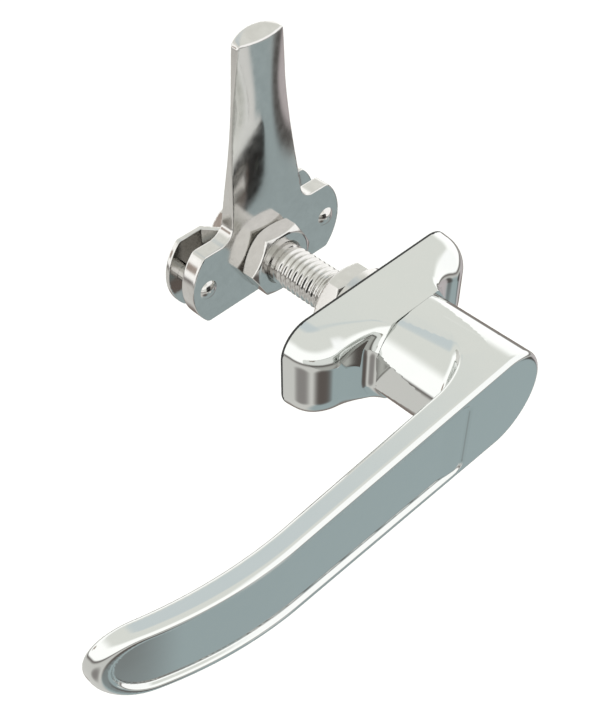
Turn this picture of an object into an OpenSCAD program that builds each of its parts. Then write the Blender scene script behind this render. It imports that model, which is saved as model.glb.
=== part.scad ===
// L-handle cam latch with a tongue and two rod pins, in millimetres.
// The spindle lies along Y. The origin is on the spindle axis at the door face,
// the handle stands in front of it (-Y) and the cam behind it (+Y).
// The lever points to -X and the tongue to +Z.

/* [Handle] */
// Reach from the spindle axis to the lever tip
lever_reach = 95.8; // [80:0.1:140]
// Height of the handle's front face above the door
handle_stand = 37.4; // [34:0.1:50]
// Radius of the hub at the front face
hub_r = 12.1; // [11.6:0.1:14]
// Radius of the round lever tip
tip_r = 9.3; // [7:0.1:11]
// Lever thickness at the hub
lever_t = 5.8; // [4.8:0.1:7.5]
// Lever thickness where the bend starts
lever_t_bend = 4.7; // [3.8:0.1:6]
// Distance from the axis to the start of the bend
bend_start = 58; // [45:0.5:65]
// Radius of the bent front face
bend_front_r = 80; // [70:1:140]
// Radius of the bent back face
bend_back_r = 88; // [85:1:160]
// Radius of the neck where it leaves the base
neck_r = 11.1; // [10.6:0.1:11.5]
// Distance from the axis to the start of the hollow web between lever and neck
web_reach = 17; // [13:0.5:19]
// Radius of the hollow web
web_r = 23; // [20:0.5:40]
// Width of the rim around the front panel
panel_rim = 1.6; // [1:0.1:3]
// Depth of the front panel
panel_depth = 1.5; // [0.6:0.1:1.8]
// Distance from the axis to the panel's hub end
panel_start = 12; // [8:0.5:20]
// Corner radius at the panel's hub end
panel_corner_r = 2; // [0.5:0.25:4]
// Radius of the journal that turns in the base
journal_r = 8; // [7.4:0.1:8.4]

/* [Base] */
// Length of the base along X
base_l = 52.2; // [48:0.1:70]
// Height of the base along Z
base_h = 23.4; // [23:0.1:30]
// Corner radius of the footprint
base_corner_r = 7; // [4:0.25:9]
// Distance from the door to the flat front of the base
base_front = 9.8; // [9:0.1:12]
// Rounding of the two ends, seen from above
base_end_r = 6; // [3:0.25:7]
// Draft of the two ends
base_end_draft = 1; // [0.2:0.1:2]
// Rounding of the long front edges
base_edge_r = 2.3; // [1:0.1:4]
// Draft of the long sides
base_side_draft = 0.5; // [0.2:0.1:1]
// Distance from the door to the rim of the boss
boss_rim = 13; // [12.5:0.1:18]
// Distance from the axis to the start of the hollow flare
boss_flare_x = 17; // [14:0.25:18]
// Radius of the hollow flare between pad and boss
boss_flare_r = 16; // [12:0.5:24]
// Spacing of the two fixing holes
fix_spacing = 37; // [34:0.5:40]
// Tapping radius of the fixing holes
fix_r = 2.1; // [1.2:0.05:2.4]
// Depth of the fixing holes
fix_depth = 6; // [4:0.25:6.5]

/* [Gasket] */
// Thickness of the gasket
gasket_t = 0.5; // [0.3:0.1:2]

/* [Spindle] */
// Nominal thread radius
thread_r = 5; // [4.4:0.1:5.2]
// Depth of the spindle in the handle, from the door face
spindle_seat = 30; // [20:0.5:32]
// Length of bare end behind the cam nut
spindle_tail = 1.4; // [0.8:0.1:4]
// Half width across the two flats that carry the cam
flat_half = 4; // [3.6:0.1:4.4]
// Distance from the door to the thread relief
relief_y = 23.6; // [18:0.1:24]
// Depth of the thread relief
relief_depth = 0.45; // [0.2:0.05:0.6]
// Width of the thread relief
relief_w = 0.7; // [0.4:0.1:1.2]
// Radius of the cross pin
cross_pin_r = 2; // [1.5:0.1:2.2]
// Half length of the cross pin
cross_pin_half = 9.4; // [9:0.05:9.6]

/* [Nuts and washers] */
// Width across flats of the three nuts
nut_af = 16; // [15:0.1:17]
// Thickness of the retaining nut behind the base
retaining_nut_t = 5; // [4:0.1:8]
// Thickness of the jam nut and of the cam nut
jam_nut_t = 5; // [4:0.1:7]
// Outer radius of the thrust washer
thrust_washer_r = 10.2; // [10:0.05:10.6]
// Thickness of the thrust washer
thrust_washer_t = 3.4; // [2.6:0.1:4]
// Outer radius of the disc spring
disc_spring_r = 9.2; // [8.5:0.1:9.6]
// Sheet thickness of the disc spring
disc_spring_t = 0.4; // [0.3:0.05:0.5]
// Height of the coned disc spring
disc_spring_h = 0.6; // [0.55:0.05:1]
// Outer radius of the lock washer
lock_washer_r = 8; // [7.4:0.1:8.2]
// Thickness of the lock washer
lock_washer_t = 2.2; // [1.6:0.1:2.6]
// Section radius of the shaft seal
seal_r = 0.9; // [0.7:0.05:1]

/* [Cam] */
// Distance from the door to the cam's front face
cam_y = 30.7; // [30:0.1:45]
// Plate thickness
cam_t = 4; // [3:0.1:6]
// Half height of the plate
cam_half_h = 9.35; // [8.6:0.05:12]
// Half width of the plate at its corners
cam_half_w = 19.25; // [18.5:0.05:24]
// Bulge of the round ear ends
ear_bulge = 4; // [3:0.1:6]
// Distance from the axis to each rod pin
pin_x = 18.75; // [18:0.05:21]
// Distance from the axis to the tongue's end
tongue_reach = 56; // [40:0.5:80]
// Half width of the tongue at the shoulders
tongue_root = 10.95; // [10:0.05:12]
// Half width of the tongue at its end
tongue_end = 6.1; // [5:0.05:9]
// Crown radius of the tongue's broad faces at the root
crown_root_r = 185; // [120:5:260]
// Crown radius of the tongue's broad faces at the end
crown_end_r = 17; // [14:0.5:40]
// Height of the flat plate before the crowned blade starts
tongue_flat = 13; // [12:0.25:16]
// Crown radius of the tongue's end
tongue_end_r = 16; // [13:0.5:30]
// Height of the bevel on the tongue's end
tongue_bevel = 1.6; // [0.5:0.1:3]
// Fillet between tongue and shoulders
shoulder_r = 3.5; // [2:0.1:3.8]

/* [Rod bracket] */
// Sheet thickness of the bracket
bracket_t = 1.2; // [0.8:0.1:1.6]
// Clear gap for a rod between cam and bracket
rod_gap = 4.3; // [4.1:0.1:8]
// Half width of the bracket's middle that lies on the cam
bracket_mid = 9.4; // [9:0.1:10]
// Distance from the axis to the bracket's ears
bracket_ear = 12.9; // [12.4:0.1:14]
// Radius of the rod pins
rod_pin_r = 2; // [1.5:0.05:2.5]
// Radius of the rod pins' round heads
rod_head_r = 2.4; // [2.1:0.05:3]
// Height of the rod pins' round heads
rod_head_h = 1.1; // [0.6:0.1:2]

/* [Hidden] */
$fn = 128;
chrome = [0.80, 0.82, 0.82];
steel = [0.60, 0.63, 0.62];
dark_steel = [0.42, 0.43, 0.43];
black_rubber = [0.06, 0.06, 0.06];
// Running clearance of the turning joint, slip clearance of the pinned and threaded pieces
run_gap = 0.05;
slip_gap = 0.02;
// Free play along the axis and at the stops
end_play = 0.1;
// Wall between the cross pin and the end of the journal
pin_wall = 1.3;
// Chamfer at both ends of the spindle
thread_chamfer = 1;
// Share of a nut's width that its flat faces take
nut_face = 0.95;
// Width and place of the slit in the lock washer
slit_w = 0.8;
slit_angle = 25;
// Margin by which a cutting shape runs past the solid
past = 1;
// Depth to which a round is tucked into the straight edge that it runs into
tuck = 0.01;

// Along the axis, from the handle to the cam
lever_back = handle_stand - lever_t;
bend_back = handle_stand - lever_t_bend;
bend_centre_front = bend_front_r - handle_stand;
bend_centre_back = bend_back_r - bend_back;
tip_x = lever_reach - tip_r;
tip_angle = asin((hub_r - tip_r) / tip_x);
neck_end = boss_rim + end_play;
web_foot = lever_back + (bend_back - lever_back) * web_reach / bend_start;
journal_end = gasket_t + 2 * end_play;
pocket_r = cross_pin_half + 4 * end_play;
pin_y = journal_end + cross_pin_r + pin_wall;
pocket_floor = pin_y + cross_pin_r + end_play;
seal_y = (boss_rim + pocket_floor) / 2;
seal_major = journal_r + run_gap - seal_r - slip_gap;
seal_groove = 2 * seal_r + 4 * end_play;
spring_y = thrust_washer_t - gasket_t;
retaining_nut_y = spring_y + disc_spring_h;
nut_ac = nut_af / cos(30);
jam_nut_y = cam_y - jam_nut_t;
bracket_y = cam_y + cam_t;
rod_back = bracket_y + rod_gap;
lock_washer_y = bracket_y + bracket_t;
cam_nut_y = lock_washer_y + lock_washer_t;
spindle_end = cam_nut_y + jam_nut_t + spindle_tail;
crown_slope = (crown_root_r - crown_end_r) / (tongue_reach - tongue_flat);
crown_apex = tongue_reach + crown_end_r / crown_slope;
crown_depth = 0.4 * tongue_reach;
ear_r = (cam_half_h * cam_half_h + ear_bulge * ear_bulge) / (2 * ear_bulge);
ear_cx = cam_half_w + ear_bulge - ear_r;
bracket_angle = atan2(rod_gap, bracket_ear - bracket_mid);
bend_shift = bracket_t * tan(bracket_angle / 2);

// A profile drawn in X and Z, extruded along Y from y0 to y1
module prism_y(y0, y1) {
    translate([0, y1, 0]) rotate([90, 0, 0]) linear_extrude(y1 - y0) children();
}

// A profile drawn in X and Y, extruded along Z to both sides
module prism_z(half) {
    translate([0, 0, -half]) linear_extrude(2 * half) children();
}

// A profile drawn in Y and Z, extruded along X to both sides
module prism_x(half) {
    translate([-half, 0, 0]) rotate([90, 0, 90]) linear_extrude(2 * half) children();
}

// A profile drawn in radius and Y, turned about the spindle axis
module turned() {
    rotate([-90, 0, 0]) rotate_extrude() children();
}

// A round bar along Y from y0 to y1
module bar_y(r, y0, y1) {
    translate([0, y0, 0]) rotate([-90, 0, 0]) cylinder(r = r, h = y1 - y0);
}

module rounded_rect(l, h, r) {
    square([l - 2 * r, h], center = true);
    square([l, h - 2 * r], center = true);
    for (sx = [-1, 1], sz = [-1, 1]) {
        translate([sx * (l / 2 - r), sz * (h / 2 - r)]) circle(r);
    }
}

// Section of the base: a flat front with round corners, the sides drafted out to the back
module rounded_front(half, front, r, back, back_half) {
    mid = front + r;
    polygon([[-half, mid], [half, mid], [back_half, back], [-back_half, back]]);
    translate([-(half - r), front]) square([2 * (half - r), r]);
    for (s = [-1, 1]) {
        translate([s * (half - r), mid]) circle(r);
    }
}

// Outline of the lever seen from the front, drawn in by the given margin
module lever_outline(inset = 0) {
    a = hub_r - inset - tuck;
    b = tip_r - inset - tuck;
    sn = sin(tip_angle);
    cs = cos(tip_angle);
    circle(a + tuck);
    translate([-tip_x, 0]) circle(b + tuck);
    polygon([[-a * sn, a * cs], [-tip_x - b * sn, b * cs], [-tip_x - b * sn, -b * cs], [-a * sn, -a * cs]]);
}

// Lever seen from above: straight from the hub, then bent back towards the door
module lever_plan() {
    polygon([[hub_r + past, -handle_stand], [hub_r + past, -lever_back], [0, -lever_back],
        [-bend_start, -bend_back], [-bend_start, -handle_stand]]);
    intersection() {
        difference() {
            translate([-bend_start, bend_centre_front]) circle(bend_front_r, $fn = 360);
            translate([-bend_start, bend_centre_back]) circle(bend_back_r, $fn = 360);
        }
        translate([-lever_reach - past, -handle_stand - past]) {
            square([lever_reach + 2 * past - bend_start, handle_stand + past]);
        }
    }
}

// What is cut away in front of the panel floor, seen from above
module panel_plan() {
    translate([-bend_start - past, -handle_stand - past]) {
        square([bend_start + past, panel_depth + past]);
    }
    difference() {
        translate([-lever_reach - past, -handle_stand - past]) {
            square([lever_reach + past - bend_start, handle_stand + past]);
        }
        translate([-bend_start, bend_centre_front]) circle(bend_front_r - panel_depth, $fn = 360);
    }
}

// Outline of the front panel, with a straight hub end and two round corners
module panel_outline() {
    r = panel_corner_r;
    corner_x = panel_start + r;
    corner_z = (hub_r - panel_rim - r - corner_x * sin(tip_angle)) / cos(tip_angle) + tuck;
    intersection() {
        lever_outline(panel_rim);
        union() {
            translate([-lever_reach, -hub_r]) square([lever_reach - corner_x, 2 * hub_r]);
            translate([-corner_x - r, -corner_z]) square([2 * r, 2 * corner_z]);
            for (s = [-1, 1]) {
                translate([-corner_x, s * corner_z]) circle(r);
            }
        }
    }
}

// Hollow web between the lever's back and the neck, seen from above
module web_plan() {
    difference() {
        translate([-web_reach, -lever_back - past]) square([web_reach, web_r]);
        translate([-web_reach, web_r - web_foot - tuck]) circle(web_r, $fn = 360);
    }
}

// Chromed handle: lever, hub, web, tapered neck and journal in one casting
module handle() {
    color(chrome) difference() {
        union() {
            intersection() {
                prism_y(-handle_stand - past, past) lever_outline();
                prism_z(hub_r + past) lever_plan();
            }
            turned() polygon([[0, -lever_back - past], [neck_r, -lever_back - past], [hub_r, -lever_back],
                [neck_r, -neck_end], [0, -neck_end]]);
            intersection() {
                prism_y(-handle_stand, 0) lever_outline();
                prism_z(hub_r + past) web_plan();
                prism_x(lever_reach) polygon([[-handle_stand, hub_r], [-lever_back, hub_r - tuck],
                    [-neck_end, neck_r - tuck], [-neck_end, tuck - neck_r], [-lever_back, tuck - hub_r],
                    [-handle_stand, -hub_r]]);
            }
            bar_y(journal_r, -boss_rim - past, -journal_end);
        }
        intersection() {
            prism_y(-handle_stand - past, past) panel_outline();
            prism_z(hub_r) panel_plan();
        }
        bar_y(thread_r + slip_gap, -spindle_seat, past);
        translate([-hub_r, -pin_y, 0]) rotate([0, 90, 0]) cylinder(r = cross_pin_r + slip_gap, h = 2 * hub_r);
        turned() translate([seal_major - seal_r - slip_gap, -seal_y - seal_groove / 2]) {
            square([journal_r, seal_groove]);
        }
    }
}

// Boss seen from above: it rises out of the pad in a hollow flare on each side
module boss_plan() {
    difference() {
        translate([-boss_flare_x, -boss_rim]) {
            square([2 * boss_flare_x, boss_rim - base_front + base_edge_r + past]);
        }
        for (s = [-1, 1]) {
            translate([s * boss_flare_x, tuck - base_front - boss_flare_r]) circle(boss_flare_r, $fn = 360);
        }
    }
}

// Chromed base: rounded pad, flared boss, round neck and the bore with its two stop pockets
module base() {
    color(chrome) difference() {
        union() {
            intersection() {
                prism_y(-base_front - past, -gasket_t) rounded_rect(base_l, base_h, base_corner_r);
                prism_z(base_h) rounded_front(base_l / 2 - base_end_draft, -base_front, base_end_r,
                    -gasket_t, base_l / 2);
                prism_x(base_l) rotate(-90) rounded_front(base_h / 2 - base_side_draft, -base_front, base_edge_r,
                    -gasket_t, base_h / 2);
            }
            prism_z(base_h / 2 - base_side_draft - tuck) boss_plan();
            bar_y(neck_r, -boss_rim, base_edge_r - base_front);
        }
        bar_y(journal_r + run_gap, -boss_rim - past, past);
        for (s = [0, 180]) {
            rotate([0, s, 0]) intersection() {
                bar_y(pocket_r, -pocket_floor, past);
                translate([-cross_pin_r - end_play, -pocket_floor - past, -cross_pin_r - end_play]) {
                    cube([2 * pocket_r, pocket_floor + past, 2 * pocket_r]);
                }
            }
        }
        for (s = [-1, 1]) {
            translate([s * fix_spacing / 2, 0, 0]) bar_y(fix_r, -gasket_t - fix_depth, past);
        }
    }
}

// Rubber gasket between base and door, punched to the tapping size so that it closes on the screws
module gasket() {
    color(black_rubber) prism_y(-gasket_t, 0) difference() {
        rounded_rect(base_l, base_h, base_corner_r);
        circle(thrust_washer_r + end_play);
        for (s = [-1, 1]) {
            translate([s * fix_spacing / 2, 0]) circle(fix_r);
        }
    }
}

// Threaded spindle, with two flats at the cam end
module spindle() {
    color(steel) difference() {
        intersection() {
            turned() polygon([[0, -spindle_seat], [thread_r - thread_chamfer, -spindle_seat],
                [thread_r, -spindle_seat + thread_chamfer], [thread_r, relief_y],
                [thread_r - relief_depth, relief_y], [thread_r - relief_depth, relief_y + relief_w],
                [thread_r, relief_y + relief_w], [thread_r, spindle_end - thread_chamfer],
                [thread_r - thread_chamfer, spindle_end], [0, spindle_end]]);
            union() {
                translate([-2 * thread_r, -spindle_seat - past, -2 * thread_r]) {
                    cube([4 * thread_r, spindle_seat + cam_y, 4 * thread_r]);
                }
                translate([-flat_half, 0, -2 * thread_r]) cube([2 * flat_half, spindle_end + past, 4 * thread_r]);
            }
        }
        translate([-hub_r, -pin_y, 0]) rotate([0, 90, 0]) cylinder(r = cross_pin_r + slip_gap, h = 2 * hub_r);
    }
}

// Pin that fixes the spindle in the handle; its ends run against the base's stops
module cross_pin() {
    color(dark_steel) translate([-cross_pin_half, -pin_y, 0]) rotate([0, 90, 0]) {
        cylinder(r = cross_pin_r, h = 2 * cross_pin_half);
    }
}

// Rubber ring in the journal's groove
module shaft_seal() {
    color(black_rubber) turned() translate([seal_major, -seal_y]) circle(seal_r, $fn = 48);
}

module flat_washer(r, y0, y1) {
    difference() {
        bar_y(r, y0, y1);
        bar_y(thread_r + slip_gap, y0 - past, y1 + past);
    }
}

// Thick round washer on the back of the base, which covers the stop pockets
module thrust_washer() {
    color(steel) flat_washer(thrust_washer_r, -gasket_t, spring_y);
}

// Coned spring that loads the handle against the base
module disc_spring() {
    inner = thread_r + slip_gap;
    color(dark_steel) turned() polygon([[inner, retaining_nut_y - disc_spring_t], [disc_spring_r, spring_y],
        [disc_spring_r, spring_y + disc_spring_t], [inner, retaining_nut_y]]);
}

// Hexagon nut with both faces chamfered and a flat on top
module hex_nut(y0, t) {
    face_r = nut_face * nut_af / 2;
    chamfer = (nut_ac / 2 - face_r) * tan(30);
    difference() {
        intersection() {
            translate([0, y0, 0]) rotate([-90, 0, 0]) cylinder(d = nut_ac, h = t, $fn = 6);
            turned() polygon([[0, y0], [face_r, y0], [nut_ac / 2, y0 + chamfer],
                [nut_ac / 2, y0 + t - chamfer], [face_r, y0 + t], [0, y0 + t]]);
        }
        bar_y(thread_r + slip_gap, y0 - past, y0 + t + past);
    }
}

module retaining_nut() {
    color(steel) hex_nut(retaining_nut_y, retaining_nut_t);
}

module jam_nut() {
    color(steel) hex_nut(jam_nut_y, jam_nut_t);
}

module cam_nut() {
    color(steel) hex_nut(cam_nut_y, jam_nut_t);
}

// Plate with two round ears, the outline that cam and bracket share
module ear_outline() {
    square([2 * cam_half_w, 2 * cam_half_h], center = true);
    intersection() {
        square([4 * cam_half_w, 2 * cam_half_h], center = true);
        for (s = [-1, 1]) {
            translate([s * ear_cx, 0]) circle(ear_r);
        }
    }
}

// Tapered tongue with a crowned end
module tongue_outline() {
    intersection() {
        polygon([[-tongue_root, 0], [-tongue_root, cam_half_h], [-tongue_end, tongue_reach],
            [tongue_end, tongue_reach], [tongue_root, cam_half_h], [tongue_root, 0]]);
        union() {
            translate([0, tongue_reach - tongue_end_r]) circle(tongue_end_r);
            translate([-2 * tongue_root, 0]) square([4 * tongue_root, tongue_reach - tongue_end_r]);
        }
    }
}

// Hollow corner between tongue and shoulder
module shoulder_fillets() {
    r = shoulder_r;
    slope = (tongue_root - tongue_end) / (tongue_reach - cam_half_h);
    centre_x = tongue_root + r * (sqrt(1 + slope * slope) - slope) - tuck;
    centre_z = cam_half_h + r - tuck;
    difference() {
        translate([-centre_x, 0]) square([2 * centre_x, centre_z - r * slope]);
        for (s = [-1, 1]) {
            translate([s * centre_x, centre_z]) circle(r);
        }
    }
}

// A wide cone tilted until one of its straight lines lies upright in the plate's face at y = 0.
// Its side is nearly flat at the tongue's root and more and more crowned towards the end.
module crown_cone() {
    translate([0, 0, crown_apex]) rotate([180 + atan(crown_slope), 0, 0]) {
        cylinder(r1 = 0, r2 = crown_depth * crown_slope, h = crown_depth);
    }
}

module spindle_hole() {
    intersection() {
        circle(thread_r + slip_gap);
        square([2 * (flat_half + slip_gap), 4 * thread_r], center = true);
    }
}

module pin_holes() {
    for (s = [-1, 1]) {
        translate([s * pin_x, 0]) circle(rod_pin_r + slip_gap);
    }
}

// Cam: eared plate and crowned tongue in one forging
module cam() {
    back = cam_y + cam_t;
    color(steel) difference() {
        union() {
            prism_y(cam_y, back) {
                ear_outline();
                shoulder_fillets();
                intersection() {
                    tongue_outline();
                    translate([-2 * tongue_root, 0]) square([4 * tongue_root, tongue_flat]);
                }
            }
            intersection() {
                prism_y(cam_y - past, back + past) tongue_outline();
                translate([0, cam_y + tuck, 0]) crown_cone();
                translate([0, back - tuck, 0]) mirror([0, 1, 0]) crown_cone();
            }
        }
        prism_y(cam_y - past, back + past) {
            spindle_hole();
            pin_holes();
        }
        prism_x(2 * tongue_root) polygon([[back, tongue_reach + past], [back, tongue_reach],
            [cam_y - past, tongue_reach - tongue_bevel * (cam_t + past) / cam_t], [cam_y - past, tongue_reach + past]]);
    }
}

// Bracket of bent sheet that carries the far ends of the rod pins
module rod_bracket() {
    far = cam_half_w + 2 * ear_bulge;
    color(steel) intersection() {
        prism_y(bracket_y - past, rod_back + bracket_t + past) difference() {
            ear_outline();
            spindle_hole();
            pin_holes();
        }
        prism_z(2 * cam_half_h) polygon([
            [-far, rod_back], [-bracket_ear, rod_back], [-bracket_mid, bracket_y],
            [bracket_mid, bracket_y], [bracket_ear, rod_back], [far, rod_back],
            [far, rod_back + bracket_t], [bracket_ear - bend_shift, rod_back + bracket_t],
            [bracket_mid - bend_shift, bracket_y + bracket_t], [-bracket_mid + bend_shift, bracket_y + bracket_t],
            [-bracket_ear + bend_shift, rod_back + bracket_t], [-far, rod_back + bracket_t]]);
    }
}

// Riveted pin with a round head at each end
module rod_pin(side) {
    back = rod_back + bracket_t;
    dome_r = (rod_head_r * rod_head_r + rod_head_h * rod_head_h) / (2 * rod_head_h);
    color(steel) translate([side * pin_x, 0, 0]) {
        bar_y(rod_pin_r, cam_y, back);
        turned() intersection() {
            translate([0, cam_y - rod_head_h + dome_r]) circle(dome_r);
            translate([0, cam_y - rod_head_h]) square([rod_head_r, rod_head_h]);
        }
        turned() intersection() {
            translate([0, back + rod_head_h - dome_r]) circle(dome_r);
            translate([0, back]) square([rod_head_r, rod_head_h]);
        }
    }
}

module left_rod_pin() {
    rod_pin(-1);
}

module right_rod_pin() {
    rod_pin(1);
}

// Split spring washer under the cam nut
module lock_washer() {
    color(dark_steel) difference() {
        flat_washer(lock_washer_r, lock_washer_y, cam_nut_y);
        translate([0, lock_washer_y - past, 0]) rotate([0, slit_angle, 0]) {
            cube([2 * lock_washer_r, lock_washer_t + 2 * past, slit_w]);
        }
    }
}

handle();
base();
gasket();
spindle();
cross_pin();
shaft_seal();
thrust_washer();
disc_spring();
retaining_nut();
jam_nut();
cam();
rod_bracket();
left_rod_pin();
right_rod_pin();
lock_washer();
cam_nut();
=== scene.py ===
"""L-handle cam latch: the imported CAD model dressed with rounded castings, a cut thread and metal finishes.

Shapes are written as distance fields in millimetres, in the frame of the CAD model: the spindle runs
along +Y from the handle to the cam, +Z is up along the tongue and the lever points to -X.
"""
import math

import bpy
import numpy as np
from mathutils import Euler, Matrix, Vector


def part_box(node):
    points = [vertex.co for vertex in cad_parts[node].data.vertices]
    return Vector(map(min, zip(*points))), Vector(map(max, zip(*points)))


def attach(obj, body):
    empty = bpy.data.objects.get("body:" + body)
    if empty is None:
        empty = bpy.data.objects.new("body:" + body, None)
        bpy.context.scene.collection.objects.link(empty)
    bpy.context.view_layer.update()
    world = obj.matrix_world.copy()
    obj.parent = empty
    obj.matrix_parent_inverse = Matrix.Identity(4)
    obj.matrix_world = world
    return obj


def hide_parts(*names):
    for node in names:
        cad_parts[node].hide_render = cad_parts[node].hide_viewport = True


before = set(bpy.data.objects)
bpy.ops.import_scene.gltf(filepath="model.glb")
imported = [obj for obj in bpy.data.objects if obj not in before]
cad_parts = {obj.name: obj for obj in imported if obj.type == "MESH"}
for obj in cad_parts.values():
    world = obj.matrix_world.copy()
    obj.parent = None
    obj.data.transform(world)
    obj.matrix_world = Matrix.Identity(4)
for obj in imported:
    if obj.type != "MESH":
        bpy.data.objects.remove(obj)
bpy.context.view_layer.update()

MM = 0.001

# Meshing
HANDLE_STEP = 0.32
BASE_STEP = 0.28
CAM_STEP = 0.27
BRACKET_STEP = 0.25
NUT_STEP = 0.22
GRID_MARGIN = 1.6
PLANE_DAMPING = 0.04
SETTLE_ROUNDS = 4
LEAST_STEEPNESS = 0.05
SHARP_COSINE = 0.93
CORNER_INSET = 0.45
SHARP_ANGLE = 40.0

# Handle
LEVER_REACH = 95.797
STAND = 37.4
HUB_R = 12.1
TIP_R = 9.3
TIP_X = LEVER_REACH - TIP_R
LEVER_T = 5.8
LEVER_T_BEND = 4.7
BEND_START = 58.0
BEND_FRONT_R = 80.0
BEND_BACK_R = 88.0
NECK_R = 11.1
NECK_CORNER = 7.5
NECK_FILLET = 2.0
WEB_REACH = 17.0
WEB_R = 23.0
JOURNAL_R = 8.0
JOURNAL_END = 0.7
FRONT_EDGE = 1.4
BACK_EDGE = 0.9
BACK_EDGE_RUN = (0.0, 6.0)
HUB_BACK_EDGE = 0.05
PANEL_RIM = 2.5
PANEL_TIP_RIM = 3.2
PANEL_DEPTH = 0.85
PANEL_START = 12.0
PANEL_RAMP = 7.0
PANEL_STEP = 0.3
PANEL_CORNER = 2.0
PANEL_FILLET = 0.3
PANEL_EDGE = 1.2

# Base
BASE_L = 52.2
BASE_H = 23.4
BASE_CORNER = 7.0
BASE_FRONT = 9.8
BASE_BACK = 0.5
BASE_END_R = 7.5
BASE_END_DRAFT = 1.0
BASE_SIDE_DRAFT = 0.5
BASE_EDGE = 2.3
BASE_RIM_EDGE = 0.25
BASE_EDGE_RUN = (6.0, 10.0)
BASE_END_RUN = (8.0, 22.0)
BOSS_RIM = 13.0
BOSS_FLARE_X = 17.0
BOSS_FLARE_R = 16.0
BOSS_FOOT = 2.0
BORE_R = 8.05
SEAM = 0.03
FIX_X = 18.5
FIX_R = 2.1
FIX_DEPTH = 6.0

# Spindle and nuts
THREAD_R = 5.0
THREAD_PITCH = 1.5
THREAD_DEPTH = 0.45
THREAD_CREST = 0.125
THREAD_FLANK = 0.625
SPINDLE_SEAT = 30.0
SPINDLE_END = 44.5
SPINDLE_CHAMFER = 1.0
SPINDLE_PLAIN_END = -0.8
RELIEF_Y = 23.6
RELIEF_W = 0.7
RELIEF_DEPTH = 0.45
RELIEF_SLOPE = 0.2
FLAT_SLOPE = 0.02
FLAT_HALF = 4.0
SLIP = 0.02
NUT_AF = 16.0
NUT_T = 5.0
NUT_FACE = 0.95
NUT_EDGE = 0.15
NUT_CONE_EDGE = 0.2
NUT_SINK = 0.5

# Cam and bracket
CAM_Y = 30.7
CAM_T = 4.0
CAM_HALF_H = 9.35
EAR_X = 10.32
EAR_R = 12.93
EAR_CORNER = 0.4
PIN_X = 18.75
PIN_R = 2.0
TONGUE_REACH = 56.0
TONGUE_ROOT = 10.95
TONGUE_END = 6.1
TONGUE_END_R = 16.0
TONGUE_CORNER = 0.8
TONGUE_BEVEL = 1.6
CROWN_R = 17.0
CROWN_RUN = (10.0, 45.0)
CROWN_EASE = 0.3
CROWN_EASE_RUN = (40.0, 56.0)
SHOULDER_R = 3.5
PLATE_EDGE = 0.3
SHEET_T = 1.2
SHEET_MID = 9.4
SHEET_EAR = 12.9
ROD_GAP = 4.3
RETAINING_NUT_Y = 3.5
LOCK_WASHER_T = 2.2
NUT_STARTS = {
    "retaining_nut": RETAINING_NUT_Y,
    "jam_nut": CAM_Y - NUT_T,
    "cam_nut": CAM_Y + CAM_T + SHEET_T + LOCK_WASHER_T,
}


# Field kit

def round_and(a, b, r):
    """Overlap of two fields, with its edge rounded by r."""
    return np.minimum(-r, np.maximum(a, b)) + np.hypot(np.maximum(a + r, 0), np.maximum(b + r, 0))


def round_or(a, b, r):
    """Union of two fields, with a fillet of radius r in its corner."""
    return np.maximum(r, np.minimum(a, b)) - np.hypot(np.maximum(r - a, 0), np.maximum(r - b, 0))


def round_box(u, v, half_u, half_v, r):
    """Outline of a rectangle with corners of radius r."""
    qu = np.abs(u) - half_u + r
    qv = np.abs(v) - half_v + r
    return np.hypot(np.maximum(qu, 0), np.maximum(qv, 0)) + np.minimum(np.maximum(qu, qv), 0) - r


def fade(value, start, end):
    """Smooth step from 0 at start to 1 at end."""
    t = np.clip((value - start) / (end - start), 0, 1)
    return t * t * (3 - 2 * t)


def taper(u, v, r0, r1, length):
    """Outline round two circles a length apart: u runs along it, v across it."""
    b = (r0 - r1) / length
    a = math.sqrt(1 - b * b)
    k = a * u - b * v
    side = a * v + b * u - r0
    return np.where(k < 0, np.hypot(u, v) - r0, np.where(k > a * length, np.hypot(u - length, v) - r1, side))


def slope_of(field, points, reach=0.01):
    """The gradient of a field at each point."""
    columns = []
    for axis in range(3):
        offset = np.zeros(3)
        offset[axis] = reach
        ahead = field(*(points + offset).T)
        behind = field(*(points - offset).T)
        columns.append((ahead - behind) / (2 * reach))
    return np.stack(columns, axis=1)


def sample(field, axes):
    """The field's values on a grid, one slice after another."""
    y, z = np.meshgrid(axes[1], axes[2], indexing="ij")
    return np.stack([field(np.full_like(y, x), y, z) for x in axes[0]])


def unit(vectors):
    """The vectors at length one."""
    return vectors / np.maximum(np.linalg.norm(vectors, axis=-1, keepdims=True), 1e-6)


def cell_points(field, grid, cells, low, step):
    """A point in each cell, on the tangent planes of the surface where it crosses the cell's edges."""
    total = np.zeros((len(cells), 3))
    hits = np.zeros(len(cells))
    crossings = []
    for axis in range(3):
        along = np.eye(3, dtype=int)[axis]
        across = [np.eye(3, dtype=int)[(axis + i) % 3] for i in (1, 2)]
        for i, j in ((0, 0), (0, 1), (1, 0), (1, 1)):
            start = cells + i * across[0] + j * across[1]
            a = grid[tuple(start.T)]
            b = grid[tuple((start + along).T)]
            which = np.flatnonzero((a < 0) != (b < 0))
            share = a[which] / (a[which] - b[which])
            place = low + step * (start[which] + share[:, None] * along)
            crossings.append((which, place))
            total[which] += place
            hits[which] += 1
    mean = total / hits[:, None]
    planes = np.zeros((len(cells), 3, 3)) + PLANE_DAMPING * np.eye(3)
    pull = np.zeros((len(cells), 3))
    for which, place in crossings:
        normal = unit(slope_of(field, place))
        planes[which] += normal[:, :, None] * normal[:, None, :]
        pull[which] += normal * ((place - mean[which]) * normal).sum(axis=1)[:, None]
    points = mean + np.linalg.solve(planes, pull[:, :, None])[:, :, 0]
    corner = low + step * cells
    return np.clip(points, corner, corner + step)


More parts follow.
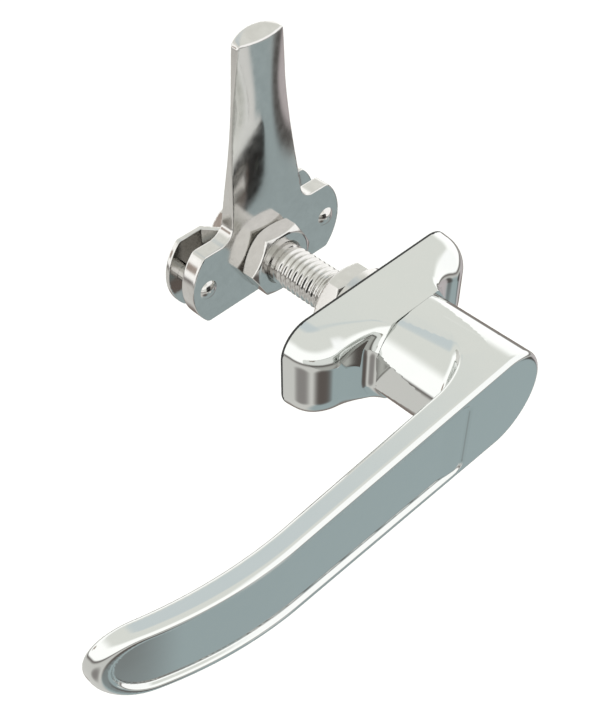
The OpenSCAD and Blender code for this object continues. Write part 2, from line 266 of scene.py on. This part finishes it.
def cell_faces(inside, number):
    """One quad round each grid edge that the surface crosses, facing outwards."""
    faces = []
    for axis in range(3):
        u = np.eye(3, dtype=int)[(axis + 1) % 3]
        v = np.eye(3, dtype=int)[(axis + 2) % 3]
        first = [slice(1, -1)] * 3
        second = [slice(1, -1)] * 3
        first[axis] = slice(0, -1)
        second[axis] = slice(1, None)
        leaves = inside[tuple(first)] & ~inside[tuple(second)]
        enters = ~inside[tuple(first)] & inside[tuple(second)]
        for crossed, order in ((leaves, (0, 1, 2, 3)), (enters, (3, 2, 1, 0))):
            edge = np.argwhere(crossed) + u + v
            ring = [edge - u - v, edge - v, edge, edge - u]
            faces.append(np.stack([number[tuple(ring[i].T)] for i in order], axis=1))
    return np.concatenate(faces)


def corner_normals(field, points, faces):
    """A normal for each corner of each face, taken beside the corner where it lies on a sharp edge."""
    corners = points[faces]
    flat = unit(np.cross(corners[:, 2] - corners[:, 0], corners[:, 3] - corners[:, 1]))
    normals = unit(slope_of(field, points))[faces]
    sharp = (normals * flat[:, None]).sum(axis=2) < SHARP_COSINE
    beside = corners + CORNER_INSET * (corners.mean(axis=1, keepdims=True) - corners)
    normals[sharp] = unit(slope_of(field, beside[sharp]))
    return normals.reshape(-1, 3)


def add_mesh(name, points, faces, normals=None):
    """An object from points in millimetres, smooth by its normals or by the angle of its edges."""
    mesh = bpy.data.meshes.new(name)
    mesh.from_pydata((points * MM).tolist(), [], [list(face) for face in faces])
    mesh.polygons.foreach_set("use_smooth", [True] * len(mesh.polygons))
    if normals is None:
        mesh.set_sharp_from_angle(angle=math.radians(SHARP_ANGLE))
    else:
        mesh.normals_split_custom_set(normals.tolist())
    mesh.update()
    piece = bpy.data.objects.new(name, mesh)
    bpy.context.collection.objects.link(piece)
    return piece


def skin(name, field, low, high, step):
    """A closed mesh on the zero level of a field, with the field's own normals."""
    axes = [np.arange(a - GRID_MARGIN * step, b + (GRID_MARGIN + 1) * step, step) for a, b in zip(low, high)]
    grid = sample(field, axes)
    inside = grid < 0
    n = [len(a) - 1 for a in axes]
    count = sum(inside[i:n[0] + i, j:n[1] + j, k:n[2] + k].astype(int)
                for i in (0, 1) for j in (0, 1) for k in (0, 1))
    mixed = (count > 0) & (count < 8)
    number = np.full(mixed.shape, -1)
    number[mixed] = np.arange(mixed.sum())
    low_corner = np.array([a[0] for a in axes])
    points = cell_points(field, grid, np.argwhere(mixed), low_corner, step)
    for _ in range(SETTLE_ROUNDS):
        slope = slope_of(field, points)
        steep = np.maximum((slope ** 2).sum(axis=1), LEAST_STEEPNESS)
        move = (field(*points.T) / steep)[:, None] * slope
        points -= np.clip(move, -step / 2, step / 2)
    faces = cell_faces(inside, number)
    return add_mesh(name, points, faces, corner_normals(field, points, faces))


def dress(piece, node, body, material):
    """Lets a piece stand for a CAD node on that node's body."""
    piece.data.materials.append(material)
    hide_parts(node)
    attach(piece, body)


def node_box(node):
    """A CAD node's box in millimetres."""
    low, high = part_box(node)
    return [c / MM for c in low], [c / MM for c in high]


# Shapes

def neck_section(x, z, half):
    """Section of the neck: a square with well rounded corners, no wider than the hub."""
    return np.maximum(round_box(x, z, half, half, NECK_CORNER), np.hypot(x, z) - HUB_R)


def handle_field(x, y, z):
    """Lever with a recessed panel, hub, web, tapered neck and the journal with its bore."""
    side = np.abs(z)
    outline = taper(-x, side, HUB_R, TIP_R, TIP_X)
    lever_back = STAND - LEVER_T
    bend_back = STAND - LEVER_T_BEND
    lean = (bend_back - lever_back) / BEND_START
    bent = x < -BEND_START
    front = np.where(bent, np.hypot(x + BEND_START, y + STAND - BEND_FRONT_R) - BEND_FRONT_R, -STAND - y)
    back = np.where(bent, BEND_BACK_R - np.hypot(x + BEND_START, y + bend_back - BEND_BACK_R),
                    y + lever_back - lean * np.minimum(x, 0))
    neck_end = BOSS_RIM + SEAM
    neck_r = NECK_R + (HUB_R - NECK_R) * (-neck_end - y) / (lever_back - neck_end)
    top = np.maximum(outline, side - neck_r)
    foot = lever_back + lean * WEB_REACH
    web = np.maximum(WEB_R - np.hypot(x + WEB_REACH, y + foot - WEB_R), np.maximum(-WEB_REACH - x, x))
    radius = np.hypot(x, z)
    neck = np.maximum(neck_section(x, z, neck_r), y + neck_end)
    rear = round_or(np.minimum(back, web), neck, NECK_FILLET)
    rear_edge = HUB_BACK_EDGE + BACK_EDGE * fade(-x, *BACK_EDGE_RUN)
    body = round_and(round_and(top, front, FRONT_EDGE), rear, rear_edge)
    panel = taper(-x, side, HUB_R - PANEL_RIM, TIP_R - PANEL_RIM, TIP_X + PANEL_RIM - PANEL_TIP_RIM)
    panel = round_and(panel, x + PANEL_START, PANEL_CORNER)
    ramp = fade(-x, PANEL_START, PANEL_START + PANEL_RAMP)
    depth = PANEL_STEP + (PANEL_DEPTH - PANEL_STEP) * ramp
    recess = round_and(panel, -(front + depth), PANEL_FILLET)
    body = round_and(body, -recess, PANEL_EDGE)
    journal = np.maximum(radius - JOURNAL_R, np.maximum(y + JOURNAL_END, -lever_back - y))
    bore = np.maximum(radius - THREAD_R - SLIP, -SPINDLE_SEAT - y)
    return np.maximum(np.minimum(body, journal), -bore)


def base_field(x, y, z):
    """Rounded pad that flares up to a boss with a short neck, with the bore and the fixing holes."""
    long = np.abs(x)
    side = np.abs(z)
    drop = (-BASE_BACK - y) / (BASE_FRONT - BASE_BACK)
    half = np.maximum(BASE_H / 2 - BASE_SIDE_DRAFT * drop, NECK_R)
    foot = round_box(x, z, BASE_L / 2 - BASE_END_DRAFT * drop, half, BASE_CORNER)
    flare = BOSS_FLARE_R - np.hypot(long - BOSS_FLARE_X, y + BASE_FRONT + BOSS_FLARE_R)
    front = np.maximum(np.where(long < BOSS_FLARE_X, flare, -BASE_FRONT - y), -BOSS_RIM - y)
    edge = BASE_RIM_EDGE + (BASE_EDGE - BASE_RIM_EDGE) * fade(long, *BASE_EDGE_RUN)
    edge = edge + (BASE_END_R - BASE_EDGE) * fade(long, *BASE_END_RUN)
    pad = round_and(foot, front, edge)
    radius = np.hypot(x, z)
    body = round_or(pad, neck_section(x, z, NECK_R), BOSS_FOOT)
    body = np.maximum(np.maximum(body, side - half), np.maximum(y + BASE_BACK, -BOSS_RIM - y))
    hole = radius - BORE_R
    fixing = np.maximum(np.hypot(long - FIX_X, z) - FIX_R, -BASE_BACK - FIX_DEPTH - y)
    return np.maximum(body, -np.minimum(hole, fixing))


def ears(x, z):
    """Plate with two round ears, the outline that cam and bracket share."""
    long = np.abs(x)
    ear = np.where(long > EAR_X, np.hypot(long - EAR_X, z) - EAR_R, -EAR_R)
    return round_and(np.abs(z) - CAM_HALF_H, ear, EAR_CORNER)


def plate_holes(x, z):
    """The spindle's hole with two flats and the two pin holes."""
    spindle = np.maximum(np.hypot(x, z) - THREAD_R - SLIP, np.abs(x) - FLAT_HALF - SLIP)
    pins = np.hypot(np.abs(x) - PIN_X, z) - PIN_R - SLIP
    return np.minimum(spindle, pins)


def cam_field(x, y, z):
    """Eared plate with a crowned tongue, bevelled at its end."""
    narrowing = (TONGUE_ROOT - TONGUE_END) / (TONGUE_REACH - CAM_HALF_H)
    half = TONGUE_ROOT - narrowing * (z - CAM_HALF_H)
    flank = (np.abs(x) - np.minimum(half, TONGUE_ROOT)) / math.hypot(1, narrowing)
    end_z = TONGUE_REACH - TONGUE_END_R
    end = np.where(z > end_z, np.hypot(x, z - end_z) - TONGUE_END_R, -TONGUE_END_R)
    tongue = np.maximum(round_and(flank, end, TONGUE_CORNER), -z)
    outline = round_or(ears(x, z), tongue, SHOULDER_R)
    sag = x ** 2 * fade(z, *CROWN_RUN) / (2 * CROWN_R)
    back = CAM_Y + CAM_T
    front_sag = sag * (1 - CROWN_EASE * fade(z, *CROWN_EASE_RUN))
    plate = round_and(outline, CAM_Y + front_sag - y, PLATE_EDGE)
    plate = round_and(plate, y - back + sag, PLATE_EDGE)
    lean = TONGUE_BEVEL / CAM_T
    bevel = (z - TONGUE_REACH + lean * (back - y)) / math.hypot(1, lean)
    plate = round_and(plate, bevel, PLATE_EDGE)
    return np.maximum(plate, -plate_holes(x, z))


def bracket_field(x, y, z):
    """Bent sheet: a plate round the line down its middle, cut to the eared outline."""
    angle = math.atan2(ROD_GAP, SHEET_EAR - SHEET_MID)
    shift = SHEET_T * math.tan(angle / 2) / 2
    low = CAM_Y + CAM_T + SHEET_T / 2
    high = low + ROD_GAP
    line = ((0, low), (SHEET_MID - shift, low), (SHEET_EAR - shift, high), (2 * EAR_R + EAR_X, high))
    long = np.abs(x)
    reach = np.full(np.shape(x), np.inf)
    for (ax, ay), (bx, by) in zip(line, line[1:]):
        share = ((long - ax) * (bx - ax) + (y - ay) * (by - ay)) / ((bx - ax) ** 2 + (by - ay) ** 2)
        share = np.clip(share, 0, 1)
        reach = np.minimum(reach, np.hypot(long - ax - share * (bx - ax), y - ay - share * (by - ay)))
    sheet = round_and(ears(x, z), reach - SHEET_T / 2, PLATE_EDGE / 2)
    return np.maximum(sheet, -plate_holes(x, z))


def nut_field(start):
    """Field of a hexagon nut with 30 degree chamfers and a countersunk thread."""
    def field(x, y, z):
        turns = [math.radians(a) for a in (30, 90, 150)]
        flats = [np.abs(x * math.cos(a) + z * math.sin(a)) for a in turns]
        hexagon = np.maximum.reduce(flats) - NUT_AF / 2
        depth = np.minimum(y - start, start + NUT_T - y)
        radius = np.hypot(x, z)
        cone = (radius - NUT_FACE * NUT_AF / 2 - depth * math.sqrt(3)) / 2
        body = round_and(round_and(hexagon, -depth, NUT_EDGE), cone, NUT_CONE_EDGE)
        bore = radius - THREAD_R - SLIP - np.clip(NUT_SINK - depth, 0, NUT_SINK)
        return np.maximum(body, -bore)
    return field


def thread_radius(y, turn):
    """Radius of the ridged bar at a place along it and a share of a turn."""
    phase = np.abs((y / THREAD_PITCH - turn + 0.5) % 1 - 0.5) * 2
    ridge = np.clip((phase - THREAD_CREST) / THREAD_FLANK, 0, 1)
    return THREAD_R - THREAD_DEPTH * ridge


def spindle_mesh(columns=72, rows_per_pitch=12):
    """The spindle as rings along Y: cut thread, relief groove, plain end with two flats."""
    turn = np.arange(columns) / columns
    thread_end = RELIEF_Y - 2 * RELIEF_SLOPE
    relief_end = RELIEF_Y + RELIEF_W
    tip_r = THREAD_R - SPINDLE_CHAMFER
    rings = [(-SPINDLE_SEAT, tip_r), (-SPINDLE_SEAT + SPINDLE_CHAMFER, THREAD_R)]
    rings += [(SPINDLE_PLAIN_END, THREAD_R)]
    rings += [(y, None) for y in np.arange(0, thread_end, THREAD_PITCH / rows_per_pitch)]
    floor = THREAD_R - RELIEF_DEPTH
    rings += [(thread_end + RELIEF_SLOPE, floor), (relief_end - RELIEF_SLOPE, floor), (relief_end, THREAD_R)]
    rings += [(CAM_Y - FLAT_SLOPE, THREAD_R), (CAM_Y, THREAD_R), (SPINDLE_END - SPINDLE_CHAMFER, THREAD_R)]
    rings += [(SPINDLE_END, tip_r)]
    points = []
    for y, radius in rings:
        r = thread_radius(y, turn) if radius is None else np.full(columns, radius)
        x = r * np.cos(2 * math.pi * turn)
        z = r * np.sin(2 * math.pi * turn)
        if y >= CAM_Y:
            x = np.clip(x, -FLAT_HALF, FLAT_HALF)
        points.append(np.stack([x, np.full(columns, y), z], axis=1))
    faces = []
    for row in range(len(rings) - 1):
        for i in range(columns):
            j = (i + 1) % columns
            a = row * columns
            faces.append([a + i, a + columns + i, a + columns + j, a + j])
    last = (len(rings) - 1) * columns
    faces.append(list(range(columns)))
    faces.append([last + i for i in reversed(range(columns))])
    return add_mesh("cut_spindle", np.concatenate(points), faces)


# Materials

NOISE_LOW = 0.3
NOISE_HIGH = 0.7
COLOUR_DETAIL = 4
BUMP_DETAIL = 3


def add_node(tree, kind, **values):
    """A new node with the given settings."""
    node = tree.nodes.new(kind)
    for key, value in values.items():
        setattr(node, key, value)
    return node


def spread(tree, source, low, high):
    """Maps the usual range of a noise to the given range."""
    node = add_node(tree, "ShaderNodeMapRange")
    node.inputs["From Min"].default_value = NOISE_LOW
    node.inputs["From Max"].default_value = NOISE_HIGH
    node.inputs["To Min"].default_value = low
    node.inputs["To Max"].default_value = high
    tree.links.new(source, node.inputs["Value"])
    return node.outputs["Result"]


def noise(tree, scale, detail):
    """Noise in the piece's own frame, scale in waves per metre."""
    place = add_node(tree, "ShaderNodeTexCoord")
    texture = add_node(tree, "ShaderNodeTexNoise")
    texture.inputs["Scale"].default_value = scale
    texture.inputs["Detail"].default_value = detail
    tree.links.new(place.outputs["Object"], texture.inputs["Vector"])
    return texture.outputs["Fac"]


def finish(name, colour, other, metallic, roughness, grain, bump_scale, bump_mm):
    """A surface whose colour, roughness and height vary with noise."""
    material = bpy.data.materials.new(name)
    material.use_nodes = True
    tree = material.node_tree
    shader = tree.nodes["Principled BSDF"]
    shader.inputs["Metallic"].default_value = metallic
    cloud = noise(tree, grain, COLOUR_DETAIL)
    ramp = add_node(tree, "ShaderNodeValToRGB")
    ramp.color_ramp.elements[0].position = NOISE_LOW
    ramp.color_ramp.elements[1].position = NOISE_HIGH
    ramp.color_ramp.elements[0].color = (*colour, 1)
    ramp.color_ramp.elements[1].color = (*other, 1)
    tree.links.new(cloud, ramp.inputs["Fac"])
    tree.links.new(ramp.outputs["Color"], shader.inputs["Base Color"])
    tree.links.new(spread(tree, cloud, *roughness), shader.inputs["Roughness"])
    bump = add_node(tree, "ShaderNodeBump")
    bump.inputs["Strength"].default_value = 1.0
    bump.inputs["Distance"].default_value = bump_mm * MM
    tree.links.new(noise(tree, bump_scale, BUMP_DETAIL), bump.inputs["Height"])
    tree.links.new(bump.outputs["Normal"], shader.inputs["Normal"])
    return material


chrome = finish("polished_chrome", (0.655, 0.67, 0.655), (0.665, 0.675, 0.66), metallic=1.0,
                roughness=(0.03, 0.055), grain=300, bump_scale=60, bump_mm=0.02)
steel = finish("plated_steel", (0.60, 0.59, 0.57), (0.65, 0.64, 0.62), metallic=1.0,
               roughness=(0.10, 0.17), grain=500, bump_scale=300, bump_mm=0.006)
dark_steel = finish("spring_steel", (0.16, 0.16, 0.16), (0.22, 0.22, 0.22), metallic=1.0,
                    roughness=(0.28, 0.4), grain=600, bump_scale=900, bump_mm=0.01)
rubber = finish("black_rubber", (0.012, 0.012, 0.012), (0.02, 0.02, 0.02), metallic=0.0,
                roughness=(0.55, 0.7), grain=900, bump_scale=1500, bump_mm=0.03)

# Pieces

handle = skin("cast_handle", handle_field, *node_box("handle"), HANDLE_STEP)
dress(handle, "handle", "handle", chrome)
base = skin("cast_base", base_field, *node_box("base"), BASE_STEP)
dress(base, "base", "base", chrome)
cam = skin("forged_cam", cam_field, *node_box("cam"), CAM_STEP)
dress(cam, "cam", "handle", steel)
bracket = skin("bent_bracket", bracket_field, *node_box("rod_bracket"), BRACKET_STEP)
dress(bracket, "rod_bracket", "handle", steel)
for nut, start in NUT_STARTS.items():
    piece = skin("hex_" + nut, nut_field(start), *node_box(nut), NUT_STEP)
    dress(piece, nut, "handle", steel)
dress(spindle_mesh(), "spindle", "handle", steel)

kept = {
    "gasket": rubber, "shaft_seal": rubber, "cross_pin": dark_steel, "disc_spring": dark_steel,
    "lock_washer": dark_steel, "thrust_washer": steel, "left_rod_pin": steel, "right_rod_pin": steel,
}
for name, material in kept.items():
    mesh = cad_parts[name].data
    mesh.materials.clear()
    mesh.materials.append(material)

# Stage

CAMERA_PLACE = (-0.13437, -0.11392, 0.16419)
CAMERA_AZIMUTH = 225.024
CAMERA_ELEVATION = 45.381
LENS_MM = 55.0
SENSOR_MM = 36.0
CLIP_START = 0.01
FLOOR_Z = -0.3
FLOOR_HALF = 4.0
FLOOR_COLOUR = (0.96, 0.96, 0.96)
BACKDROP = (1.0, 1.0, 1.0)
UPPER = (1.0, 1.01, 0.96)
HORIZON = (1.5, 1.5, 1.48)
LINE = (0.22, 0.2, 0.19)
LOWER = (0.80, 0.79, 0.76)
# Elevations in degrees between which each tone gives way to the next
LINE_RISE = (-24, -15)
HORIZON_RISE = (-16, -9)
UPPER_RISE = (20, 40)
# Azimuth and elevation of each card's middle, its inner and outer angle, its colour
LOW_CARDS = (
    (300, -58, 30, 42, (0.43, 0.515, 0.53)),
    (45, -45, 20, 45, (0.25, 0.21, 0.19)),
    (246, -46, 1, 20, (0.15, 0.13, 0.12)),
    (188, -46, 0, 19, (0.34, 0.32, 0.31)),
    (287, -31, 3, 9, (0.95, 0.95, 0.93)),
    (337, -33, 4, 12, (0.12, 0.115, 0.11)),
    (356, -32, 8, 16, (0.62, 0.57, 0.58)),
)
HIGH_CARDS = (
    (315, 22, 28, 40, (1.45, 1.45, 1.45)),
    (62, 64, 0, 24, (0.80, 0.87, 0.89)),
    (141, 6, 4.5, 8.5, (0.49, 0.41, 0.36)),
)


def add_floor():
    """A plain white floor well below the latch."""
    material = bpy.data.materials.new("white_floor")
    material.use_nodes = True
    shader = material.node_tree.nodes["Principled BSDF"]
    shader.inputs["Base Color"].default_value = (*FLOOR_COLOUR, 1)
    shader.inputs["Roughness"].default_value = 1.0
    shader.inputs["Specular IOR Level"].default_value = 0.0
    mesh = bpy.data.meshes.new("floor")
    corners = [(a * FLOOR_HALF, b * FLOOR_HALF, FLOOR_Z) for a, b in ((-1, -1), (1, -1), (1, 1), (-1, 1))]
    mesh.from_pydata(corners, [], [(0, 1, 2, 3)])
    mesh.materials.append(material)
    floor = bpy.data.objects.new("floor", mesh)
    bpy.context.collection.objects.link(floor)
    floor.visible_glossy = False


def blend(tree, share, first, second):
    """A colour that runs from the first socket's to the second's.

    Of a colour mix, inputs 0, 6 and 7 are the share and the two colours, and output 2 is the result.
    """
    mix = add_node(tree, "ShaderNodeMix", data_type="RGBA")
    tree.links.new(share, mix.inputs[0])
    tree.links.new(first, mix.inputs[6])
    tree.links.new(second, mix.inputs[7])
    return mix.outputs[2]


def tone(tree, colour):
    """A socket that gives one colour."""
    node = add_node(tree, "ShaderNodeRGB")
    node.outputs[0].default_value = (*colour, 1)
    return node.outputs[0]


def soft_step(tree, value, start, end):
    """A socket that rises smoothly from 0 to 1 while the value goes from start to end."""
    node = add_node(tree, "ShaderNodeMapRange", interpolation_type="SMOOTHSTEP")
    node.inputs["From Min"].default_value = start
    node.inputs["From Max"].default_value = end
    tree.links.new(value, node.inputs["Value"])
    return node.outputs["Result"]


def climb(tree, height, rise):
    """A socket that rises from 0 to 1 between two elevations."""
    return soft_step(tree, height, math.sin(math.radians(rise[0])), math.sin(math.radians(rise[1])))


def hang_card(tree, way, behind, card):
    """Lays one soft round card over the colour behind it."""
    azimuth, elevation, inner, outer, colour = card
    a = math.radians(azimuth)
    e = math.radians(elevation)
    dot = add_node(tree, "ShaderNodeVectorMath", operation="DOT_PRODUCT")
    dot.inputs[1].default_value = (math.cos(a) * math.cos(e), math.sin(a) * math.cos(e), math.sin(e))
    tree.links.new(way, dot.inputs[0])
    edge = math.cos(math.radians(outer))
    share = soft_step(tree, dot.outputs["Value"], edge, math.cos(math.radians(inner)))
    return blend(tree, share, behind, tone(tree, colour))


def add_world():
    """A soft studio all round: pale above, a bright horizon, a dark line under it, and toned cards.

    The camera itself sees a plain white backdrop.
    """
    world = bpy.data.worlds.new("studio")
    bpy.context.scene.world = world
    world.use_nodes = True
    tree = world.node_tree
    way = add_node(tree, "ShaderNodeTexCoord").outputs["Generated"]
    split = add_node(tree, "ShaderNodeSeparateXYZ")
    tree.links.new(way, split.inputs["Vector"])
    height = split.outputs["Z"]
    low = tone(tree, LOWER)
    for card in LOW_CARDS:
        low = hang_card(tree, way, low, card)
    colour = tone(tree, LINE)
    for rise, next_tone in ((HORIZON_RISE, HORIZON), (UPPER_RISE, UPPER)):
        share = climb(tree, height, rise)
        colour = blend(tree, share, colour, tone(tree, next_tone))
    for card in HIGH_CARDS:
        colour = hang_card(tree, way, colour, card)
    studio = blend(tree, climb(tree, height, LINE_RISE), low, colour)
    seen = add_node(tree, "ShaderNodeLightPath").outputs["Is Camera Ray"]
    shown = blend(tree, seen, studio, tone(tree, BACKDROP))
    tree.links.new(shown, tree.nodes["Background"].inputs["Color"])


def add_camera():
    """The photograph's view, from the camera's place and the direction that it looks back from."""
    data = bpy.data.cameras.new("camera")
    data.lens = LENS_MM
    data.sensor_width = SENSOR_MM
    data.clip_start = CLIP_START
    camera = bpy.data.objects.new("camera", data)
    bpy.context.collection.objects.link(camera)
    turn = Euler((math.radians(90 - CAMERA_ELEVATION), 0, math.radians(90 + CAMERA_AZIMUTH)))
    camera.matrix_world = Matrix.LocRotScale(Vector(CAMERA_PLACE), turn, None)
    bpy.context.scene.camera = camera


add_floor()
add_world()
add_camera()
bpy.context.scene.view_settings.view_transform = "Standard"
